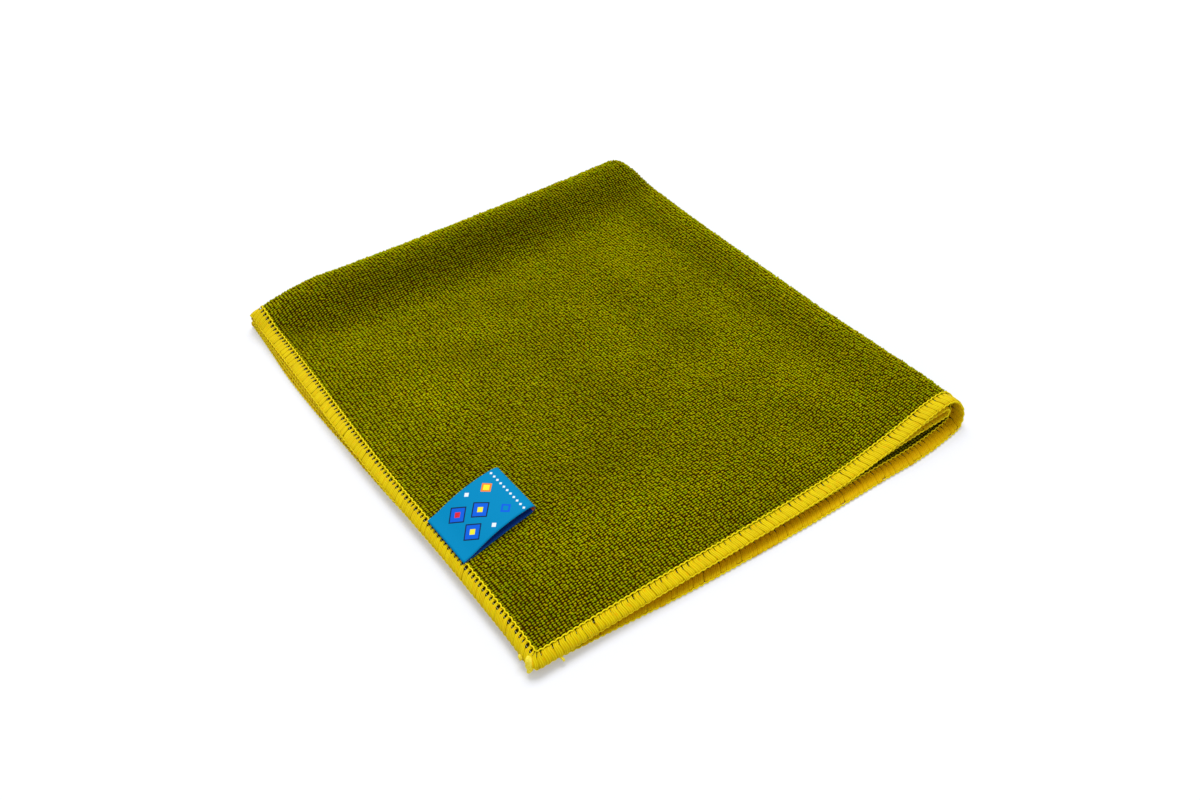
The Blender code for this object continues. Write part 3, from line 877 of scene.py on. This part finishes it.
class Graph:
    """A material's nodes, made and joined in short lines."""

    def __init__(self, name, **shader):
        self.material = bpy.data.materials.new(name)
        self.material.use_nodes = True
        self.tree = self.material.node_tree
        self.finish(**shader)

    def finish(self, **sockets):
        shader = self.tree.nodes["Principled BSDF"]
        for socket, value in sockets.items():
            self.put(shader.inputs[socket.replace("_", " ")], value)
        return self.material

    def node(self, kind, inputs=(), **settings):
        node = self.tree.nodes.new(kind)
        for name, value in settings.items():
            setattr(node, name, value)
        for socket, value in dict(inputs).items():
            self.put(node.inputs[socket], value)
        return node

    def put(self, socket, value):
        if isinstance(value, bpy.types.NodeSocket):
            self.tree.links.new(value, socket)
        else:
            socket.default_value = value

    def math(self, operation, *values):
        return self.node("ShaderNodeMath", enumerate(values), operation=operation).outputs[0]

    def vector(self, operation, first, second):
        inputs = {0: first, 3 if operation == "SCALE" else 1: second}
        return self.node("ShaderNodeVectorMath", inputs, operation=operation).outputs[0]

    def smooth(self, value, low, high, to_low=0.0, to_high=1.0):
        inputs = enumerate((value, low, high, to_low, to_high))
        return self.node("ShaderNodeMapRange", inputs, interpolation_type="SMOOTHSTEP").outputs[0]

    def mix(self, share, first, second):
        inputs = {0: share, 6: first, 7: second}
        return self.node("ShaderNodeMix", inputs, data_type="RGBA").outputs[2]

    def dye(self, base, tint, value, low, high, most=1.0):
        """The base with a tint mixed in, not at all where the value is low, and most at high."""
        return self.mix(self.smooth(value, low, high, 0.0, most), base, tint)

    def mapped(self, vector, scale, turn=0.0):
        inputs = {"Vector": vector, "Rotation": (0.0, 0.0, turn), "Scale": scale}
        return self.node("ShaderNodeMapping", inputs).outputs[0]

    def noise(self, vector, scale, detail=2.0, roughness=0.5, output="Fac"):
        inputs = {"Vector": vector, "Scale": scale, "Detail": detail, "Roughness": roughness}
        return self.node("ShaderNodeTexNoise", inputs).outputs[output]

    def warped(self, vector, by, scale, detail, reach):
        """A place that strays a little, as a noise says."""
        stray = self.noise(by, scale, detail, output="Color")
        stray = self.vector("SUBTRACT", stray, (0.5, 0.5, 0.5))
        return self.vector("ADD", vector, self.vector("SCALE", stray, reach * MM))

    def bump(self, height, distance, strength=1.0, **under):
        inputs = {"Height": height, "Distance": distance * MM, "Strength": strength, **under}
        return self.node("ShaderNodeBump", inputs).outputs[0]

    def parts(self, vector):
        return self.node("ShaderNodeSeparateXYZ", {0: vector}).outputs

    def attribute(self, name):
        return self.node("ShaderNodeAttribute", attribute_name=name).outputs["Fac"]

    def flat(self):
        return self.node("ShaderNodeUVMap", uv_map="flat").outputs[0]


def colour(red, green, blue):
    return (red, green, blue, 1.0)


# The cloth: its surface, and for the panel and the standing loops each the painted shade between
# the loops, the loops' two main hues, light and dark ones, and the soft patches.
CLOTH = dict(
    Roughness=0.95, Specular_IOR_Level=0.0, Sheen_Roughness=0.5, Sheen_Tint=colour(0.9, 0.95, 0.0)
)
PANEL_PIT_SHADE = colour(0.012, 0.008, 0.0)
PANEL_HUES = colour(0.185, 0.235, 0.0), colour(0.31, 0.215, 0.0)
PANEL_LIGHT, PANEL_DARK = colour(0.40, 0.39, 0.004), colour(0.10, 0.10, 0.0)
PANEL_FIBRE = colour(0.27, 0.28, 0.0)
PANEL_PATCH = colour(0.14, 0.13, 0.0)
LOOP_FOOT_SHADE = colour(0.075, 0.026, 0.0)
LOOP_HUES = colour(0.27, 0.355, 0.0), colour(0.405, 0.33, 0.0)
LOOP_LIGHT, LOOP_DARK = colour(0.51, 0.53, 0.006), colour(0.18, 0.19, 0.0)
LOOP_PATCH = colour(0.22, 0.21, 0.0)

# The panel under the standing loops and in the stitch holes, painted dark as the shade there, and
# under the yarn's fuzz.
SHADE_UNDER_LOOPS = colour(0.060, 0.022, 0.0)
STITCH_HOLE_SHADE = colour(0.012, 0.012, 0.001)
FUZZ = colour(0.80, 0.42, 0.0)

# The overlock yarn: sheen, shine, two main hues, fine shadows, painted shade between the plies and
# painted highlight on them, flecks, and the painted shade round the rim, underneath and deep in the
# stack.
YARN_SHEEN, YARN_SHINE = colour(1.0, 0.95, 0.0), colour(1.0, 0.95, 0.2)
YARN_HUES = colour(0.62, 0.475, 0.0), colour(0.685, 0.53, 0.0)
YARN_FINE = colour(0.52, 0.29, 0.0)
YARN_PLY_SHADE, YARN_PLY_HIGHLIGHT = colour(0.58, 0.34, 0.0), colour(0.78, 0.70, 0.02)
YARN_FLECK = colour(0.80, 0.33, 0.0)
YARN_SHADE = colour(0.74, 0.41, 0.0)

# Threads: two hues each.
LINE_HUES = colour(0.80, 0.62, 0.0), colour(0.88, 0.74, 0.01)
NEEDLE_HUES = colour(0.26, 0.25, 0.10), colour(0.38, 0.36, 0.16)
END_HUES = colour(0.78, 0.58, 0.0), colour(0.86, 0.78, 0.10)


def patchy(g, base, tint):
    """The base with soft patches of a tint, some 25 mm wide."""
    patch = g.noise(g.flat(), scale=38.0, detail=3.0, roughness=0.55)
    return g.dye(base, tint, patch, low=0.32, high=0.68, most=0.30)


def knit():
    """Looped knit: bead-like loops in ribs, with painted shade between them, each a little its own
    colour.
    """
    g = Graph("knit", Sheen_Weight=0.06, **CLOTH)
    flat = g.flat()
    place = g.warped(flat, by=flat, scale=70.0, detail=2.0, reach=WARP)
    place = g.warped(place, by=flat, scale=420.0, detail=1.0, reach=FINE_WARP)
    pitches = (1 / (RIB_PITCH * MM), 1 / (LOOP_PITCH * MM), 1.0)
    place = g.mapped(place, scale=pitches, turn=RIB_TURN)
    cells = g.node(
        "ShaderNodeTexVoronoi", {"Vector": place, "Scale": 1.0, "Randomness": UNEVEN},
        voronoi_dimensions="2D",
    ).outputs
    # Painted shade between the beads, darkest in the grooves between ribs and the gaps between
    # rows.
    bead = g.smooth(cells["Distance"], low=0.66, high=0.10)
    own = g.node("ShaderNodeSeparateColor", {0: cells["Color"]}).outputs
    across, along = (
        g.math("COSINE", g.math("MULTIPLY", g.math("SUBTRACT", axis, UNEVEN / 2), 2 * np.pi))
        for axis in list(g.parts(place))[:2]
    )
    groove = g.smooth(across, low=-1.0, high=0.0, to_low=0.30)
    gap = g.smooth(along, low=-1.0, high=-0.1, to_low=0.45)
    top = g.math("MULTIPLY", bead, g.math("MULTIPLY", groove, gap))
    # In random patches the painted shade between the beads is lighter.
    pit_shade_fill = g.noise(place, scale=0.45, detail=2.0, roughness=0.6)
    pit_shade_fill = g.smooth(pit_shade_fill, low=0.35, high=0.65, to_high=0.16)
    shown = g.math("MINIMUM", g.math("ADD", top, pit_shade_fill), 1.0)
    fibre = g.noise(place, scale=3.2, detail=2.0, roughness=0.6)

    olive = g.mix(own[0], *PANEL_HUES)
    olive = g.dye(olive, PANEL_LIGHT, own[1], low=0.75, high=1.0, most=0.9)
    olive = g.dye(olive, PANEL_DARK, own[2], low=0.75, high=1.0, most=0.7)
    olive = g.dye(olive, PANEL_FIBRE, fibre, low=0.35, high=0.7, most=0.6)
    base = g.dye(PANEL_PIT_SHADE, patchy(g, olive, PANEL_PATCH), shown, low=0.06, high=0.72)
    # Painted shade: dark under the standing loops and near black in the stitch holes.
    bare = g.attribute("tone")
    base = g.mix(g.attribute("covered"), base, SHADE_UNDER_LOOPS)
    base = g.mix(bare, STITCH_HOLE_SHADE, base)
    base = g.dye(base, FUZZ, bare, low=-0.1, high=-0.9)
    height = g.math("ADD", top, g.math("MULTIPLY", fibre, 0.25))
    swell = g.bump(g.noise(flat, scale=26.0), distance=SWELL)
    return g.finish(Base_Color=base, Normal=g.bump(height, 0.40, strength=0.9, Normal=swell))


def nap():
    """The loops' yarn: olive, each loop its own hue, with painted shade towards each loop's foot
    and painted light and shade in patches.
    """
    g = Graph("nap", Sheen_Weight=0.10, **CLOTH)
    own = g.attribute("own")
    olive = g.mix(g.math("FRACT", g.math("MULTIPLY", own, 17.0)), *LOOP_HUES)
    olive = g.dye(olive, LOOP_LIGHT, own, low=0.7, high=1.0, most=0.40)
    olive = g.dye(olive, LOOP_DARK, own, low=0.3, high=0.0, most=0.40)
    olive = patchy(g, olive, LOOP_PATCH)
    # Painted shade: each loop darkens towards its foot.
    base = g.dye(LOOP_FOOT_SHADE, olive, g.attribute("tone"), low=0.1, high=0.9)
    # Painted light and shade in patches over layer 1.
    base = g.vector("SCALE", base, g.attribute("lie"))
    fibre = g.noise(g.node("ShaderNodeTexCoord").outputs["Object"], scale=5200.0)
    return g.finish(Base_Color=base, Normal=g.bump(fibre, distance=0.08, strength=0.6))


def yarn():
    """Soft yellow overlock yarn: fine fibres along each strand, with painted orange shade down its
    sides, between its plies and in the lower layers, and painted highlight on the plies.
    """
    g = Graph(
        "yarn", Roughness=0.6, Specular_IOR_Level=0.10, Specular_Tint=YARN_SHINE,
        Sheen_Weight=0.06, Sheen_Roughness=0.5, Sheen_Tint=YARN_SHEEN,
    )
    flat = g.flat()
    fine = g.noise(g.mapped(flat, scale=(2.6, 2.2, 1.0)), scale=1.0, detail=3.0, roughness=0.6)
    across = g.math("ADD", g.parts(flat)[0], g.math("MULTIPLY", fine, 0.25))
    ply = g.math("COSINE", g.math("MULTIPLY", across, 2 * np.pi / PLY_WIDTH))
    flecks = g.noise(g.mapped(flat, scale=(1.9, 6.0, 1.0)), scale=1.0, detail=1.0)
    base = g.mix(g.attribute("tone"), *YARN_HUES)
    base = g.dye(base, YARN_FINE, fine, low=0.54, high=0.34, most=0.6)
    # Painted shade between the plies and painted highlight on them.
    base = g.dye(base, YARN_PLY_SHADE, ply, low=-0.2, high=-1.0, most=0.55)
    base = g.dye(base, YARN_PLY_HIGHLIGHT, ply, low=0.4, high=1.0, most=0.5)
    base = g.dye(base, YARN_FLECK, flecks, low=0.60, high=0.70, most=0.5)
    # Painted shade, deep orange, round the rim, underneath and in the lower layers.
    base = g.mix(g.math("MULTIPLY", g.attribute("deep"), 0.85), base, YARN_SHADE)
    height = g.math("ADD", g.math("MULTIPLY", ply, 0.5), fine)
    return g.finish(Base_Color=base, Normal=g.bump(height, distance=0.14, strength=0.8))


def thread(name, first, second):
    """Fine twisted thread."""
    g = Graph(name, Roughness=0.6, Specular_IOR_Level=0.05)
    fine = g.noise(g.mapped(g.flat(), scale=(9.0, 2.0, 1.0), turn=0.5), scale=1.0)
    base = g.dye(first, second, fine, low=0.3, high=0.7)
    return g.finish(Base_Color=base, Normal=g.bump(fine, distance=0.05, strength=0.5))


SKY_BLUE = colour(0.001, 0.20, 0.42)
ROYAL_BLUE = colour(0.006, 0.09, 0.62)
NAVY = colour(0.008, 0.008, 0.035)
YELLOW = colour(0.80, 0.72, 0.002)
ORANGE = colour(0.80, 0.20, 0.002)
RED = colour(0.62, 0.006, 0.006)
WHITE = colour(0.72, 0.76, 0.80)
WEAVE = colour(0.0, 0.34, 0.66)

# The ribbon's print, diamonds inside one another: place along the ribbon and across it, then half
# width and colour of each. The upper leaf runs from 30 at its fold to 57 at the edging.
DIAMONDS = (
    (51.0, -4.4, (3.9, NAVY), (3.3, ROYAL_BLUE), (1.3, RED)),
    (51.0, 4.4, (3.9, NAVY), (3.3, ROYAL_BLUE), (1.3, YELLOW)),
    (44.6, 0.0, (3.9, NAVY), (3.3, ROYAL_BLUE), (1.3, YELLOW)),
    (38.2, -5.6, (2.4, ORANGE), (1.5, YELLOW)),
    (38.2, 5.6, (2.2, ROYAL_BLUE), (1.2, SKY_BLUE)),
    (44.6, -8.0, (1.0, WHITE)),
    (44.6, 8.0, (1.0, WHITE)),
)
PRINT_BLUR = 0.06

# The dotted line: place along the ribbon, pitch, and half the size of a dot.
DASH_PLACE, DASH_PITCH, DASH_SIZE = 33.6, 1.9, 0.56

# The inner side, blue up to a place and red from there on, over how far, with a band round its
# fold: place, half width and blur.
LINING_START = 80.0
LINING_BLUE, LINING_RED = colour(0.006, 0.035, 0.30), colour(0.22, 0.004, 0.01)
LINING_TURN, LINING_TURN_OVER = 150.0, 0.3
BAND = colour(0.62, 0.12, 0.004)
BAND_PLACE, BAND_SIZE, BAND_BLUR = 130.2, 2.2, 0.1


def ribbon():
    """Smooth woven ribbon with a print of diamonds, and plain bands on its inner side."""
    g = Graph("ribbon", Roughness=0.6, Specular_IOR_Level=0.02)
    flat = g.flat()
    along, across = (g.math("DIVIDE", axis, MM) for axis in list(g.parts(flat))[:2])

    def off(value, middle):
        return g.math("ABSOLUTE", g.math("SUBTRACT", value, middle))

    def printed(base, tint, far, size, blur=PRINT_BLUR):
        return g.dye(base, tint, far, low=size + blur, high=size - blur)

    base = SKY_BLUE
    for middle_along, middle_across, *diamonds in DIAMONDS:
        far = g.math("ADD", off(along, middle_along), off(across, middle_across))
        for half_width, tint in diamonds:
            base = printed(base, tint, far, half_width)
    dash = g.math("PINGPONG", across, DASH_PITCH / 2)
    base = printed(base, WHITE, g.math("ADD", off(along, DASH_PLACE), dash), DASH_SIZE)

    lining = g.dye(LINING_BLUE, LINING_RED, along, LINING_TURN, LINING_TURN + LINING_TURN_OVER)
    lining = printed(lining, BAND, off(along, BAND_PLACE), BAND_SIZE, BAND_BLUR)
    base = g.mix(g.math("GREATER_THAN", along, LINING_START), base, lining)
    fine = g.noise(g.mapped(flat, scale=(5200.0, 1800.0, 1.0)), scale=1.0)
    base = g.dye(base, WEAVE, fine, low=0.3, high=0.7, most=0.10)
    return g.finish(Base_Color=base, Normal=g.bump(fine, distance=0.03, strength=0.3))


# -------- stage

# The floor: half its side in metres, two hues, a little blue so that the yellow light thrown into
# its shadows by the yarn looks grey, and its own glow, which lightens those shadows.
FLOOR_REACH = 3.0
PAPER_HUES = colour(0.56, 0.57, 0.61), colour(0.54, 0.55, 0.59)
PAPER_GLOW = 0.26
PAPER_GLOW_HUE = colour(0.97, 0.98, 1.0)

# The camera: place and target in millimetres, roll in degrees, lens and sensor in millimetres, and
# the nearest and farthest that it sees, in metres.
CAMERA_PLACE = (-80.09, -165.63, 267.39)
CAMERA_TARGET = (80.95, 80.44, 0.0)
CAMERA_ROLL = -3.369
CAMERA_LENS, CAMERA_SENSOR = 33.36, 36.0
CAMERA_SEES = 0.01, 20.0

# One wide soft light aimed at the middle of the cloth, in metres and watts, and an even white sky.
KEY_PLACE = (1.35, 1.92, 4.40)
KEY_WIDTH = 3.2
KEY_POWER = 220.0
SKY = 0.68


def paper():
    """Plain white ground that glows a little."""
    g = Graph(
        "paper", Roughness=0.9, Specular_IOR_Level=0.1,
        Emission_Color=PAPER_GLOW_HUE, Emission_Strength=PAPER_GLOW,
    )
    fine = g.noise(g.node("ShaderNodeTexCoord").outputs["Object"], scale=40.0)
    return g.finish(Base_Color=g.mix(g.math("MULTIPLY", fine, 0.02), *PAPER_HUES))


def add_floor():
    mesh = bpy.data.meshes.new("floor")
    reach = FLOOR_REACH
    corners = [(-reach, -reach, 0), (reach, -reach, 0), (reach, reach, 0), (-reach, reach, 0)]
    mesh.from_pydata(corners, [], [(0, 1, 2, 3)])
    mesh.materials.append(paper())
    floor = added("floor", mesh)
    return floor


def aimed(place, target):
    return (target - place).to_track_quat("-Z", "Y")


def add_camera(shift):
    data = bpy.data.cameras.new("camera")
    data.sensor_width, data.lens = CAMERA_SENSOR, CAMERA_LENS
    data.clip_start, data.clip_end = CAMERA_SEES
    camera = added("camera", data)
    place, target = (Vector((np.array(p) + shift) * MM) for p in (CAMERA_PLACE, CAMERA_TARGET))
    roll = Quaternion((0.0, 0.0, 1.0), np.radians(CAMERA_ROLL))
    camera.rotation_mode = "QUATERNION"
    camera.rotation_quaternion = aimed(place, target) @ roll
    camera.location = place
    bpy.context.scene.camera = camera


def add_lights():
    data = bpy.data.lights.new("key", "AREA")
    data.shape, data.size, data.energy = "SQUARE", KEY_WIDTH, KEY_POWER
    light = added("key", data)
    light.location = KEY_PLACE
    light.rotation_euler = aimed(Vector(KEY_PLACE), Vector()).to_euler()
    world = bpy.data.worlds.new("studio")
    world.use_nodes = True
    background = world.node_tree.nodes["Background"].inputs
    background["Color"].default_value = colour(1.0, 1.0, 1.0)
    background["Strength"].default_value = SKY
    bpy.context.scene.world = world
    bpy.context.scene.view_settings.view_transform = "Standard"


def main():
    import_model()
    low_corner = np.array(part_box("edging")[0]) / MM
    rim = on_hem(np.linspace(0.0, HEM_LENGTH, RIM_SAMPLES), HEM_WIDTH, 0.0)
    shift = np.array([*(low_corner[:2] - rim.min(axis=0)[:2]), 0.0])
    chance = np.random.default_rng(SEED)

    floor = add_floor()
    add_camera(shift)
    add_lights()

    cloth = cloth_sheet(shift)
    standing = loops(shift, chance)
    overlock = strands(shift, chance)
    line, needle, rim_line = (hem_thread(*row, shift) for row in HEM_THREADS)
    ends = yarn_ends(shift)
    label = label_ribbon(shift)

    pile, lines = nap(), thread("line_thread", *LINE_HUES)
    for piece, material, slot, nodes in (
        (cloth, knit(), "cloth", ["cloth"]),
        (overlock, yarn(), "edging", ["edging"]),
        (line, lines, "edging", []),
        (needle, thread("needle_thread", *NEEDLE_HUES), "edging", []),
        (rim_line, lines, "edging", []),
        (ends, thread("end_thread", *END_HUES), "edging", []),
        (label, ribbon(), "label", ["label"]),
        *((piece, pile, "cloth", []) for piece in standing),
    ):
        piece.data.materials.append(material)
        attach(piece, "root")
        if nodes:
            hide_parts(*nodes)


main()
